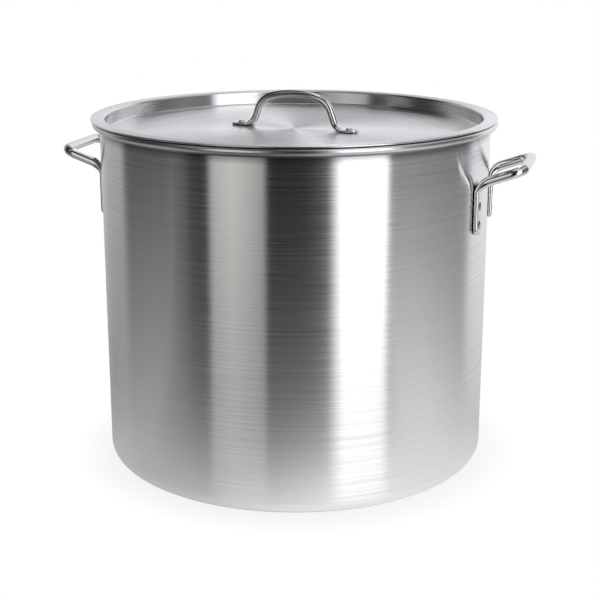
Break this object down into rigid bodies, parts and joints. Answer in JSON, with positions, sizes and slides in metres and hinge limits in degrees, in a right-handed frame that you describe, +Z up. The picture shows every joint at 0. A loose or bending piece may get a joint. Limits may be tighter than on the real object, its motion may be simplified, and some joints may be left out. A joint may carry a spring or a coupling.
{
  "type": "cooking pot",
  "caption": "Large straight-sided cooking pot with a rolled rim, riveted bent-rod side handles and a loose drop-in lid with an arched rod handle.",
  "frame": {"origin": "centre of the pot's flat base, on the surface it stands on", "axes": "+Z up along the pot's axis, +X through the middle of the right side handle, +Y away from the viewer"},
  "size_m": [0.467, 0.3978, 0.3659],
  "materials": {
    "spun_aluminium": "satin, brushed round the wall and spun on the lid",
    "polished_rod": "polished",
    "rivet_aluminium": "bright"
  },
  "bodies": {
    "pot": {"pot_body": "spun_aluminium", "handle_right": "polished_rod", "handle_left": "polished_rod", "handle_rivet_right_front_lower": "rivet_aluminium", "handle_rivet_right_front_upper": "rivet_aluminium", "handle_rivet_right_back_lower": "rivet_aluminium", "handle_rivet_right_back_upper": "rivet_aluminium", "handle_rivet_left_front_lower": "rivet_aluminium", "handle_rivet_left_front_upper": "rivet_aluminium", "handle_rivet_left_back_lower": "rivet_aluminium", "handle_rivet_left_back_upper": "rivet_aluminium"},
    "lid": {"lid": "spun_aluminium", "lid_handle": "polished_rod", "lid_rivet_left": "rivet_aluminium", "lid_rivet_right": "rivet_aluminium"}
  },
  "joints": [
    {"name": "lid_lift", "type": "slide", "parent": "pot", "child": "lid", "axis": [0, 0, 1], "range_m": [0, 0.4]}
  ]
}
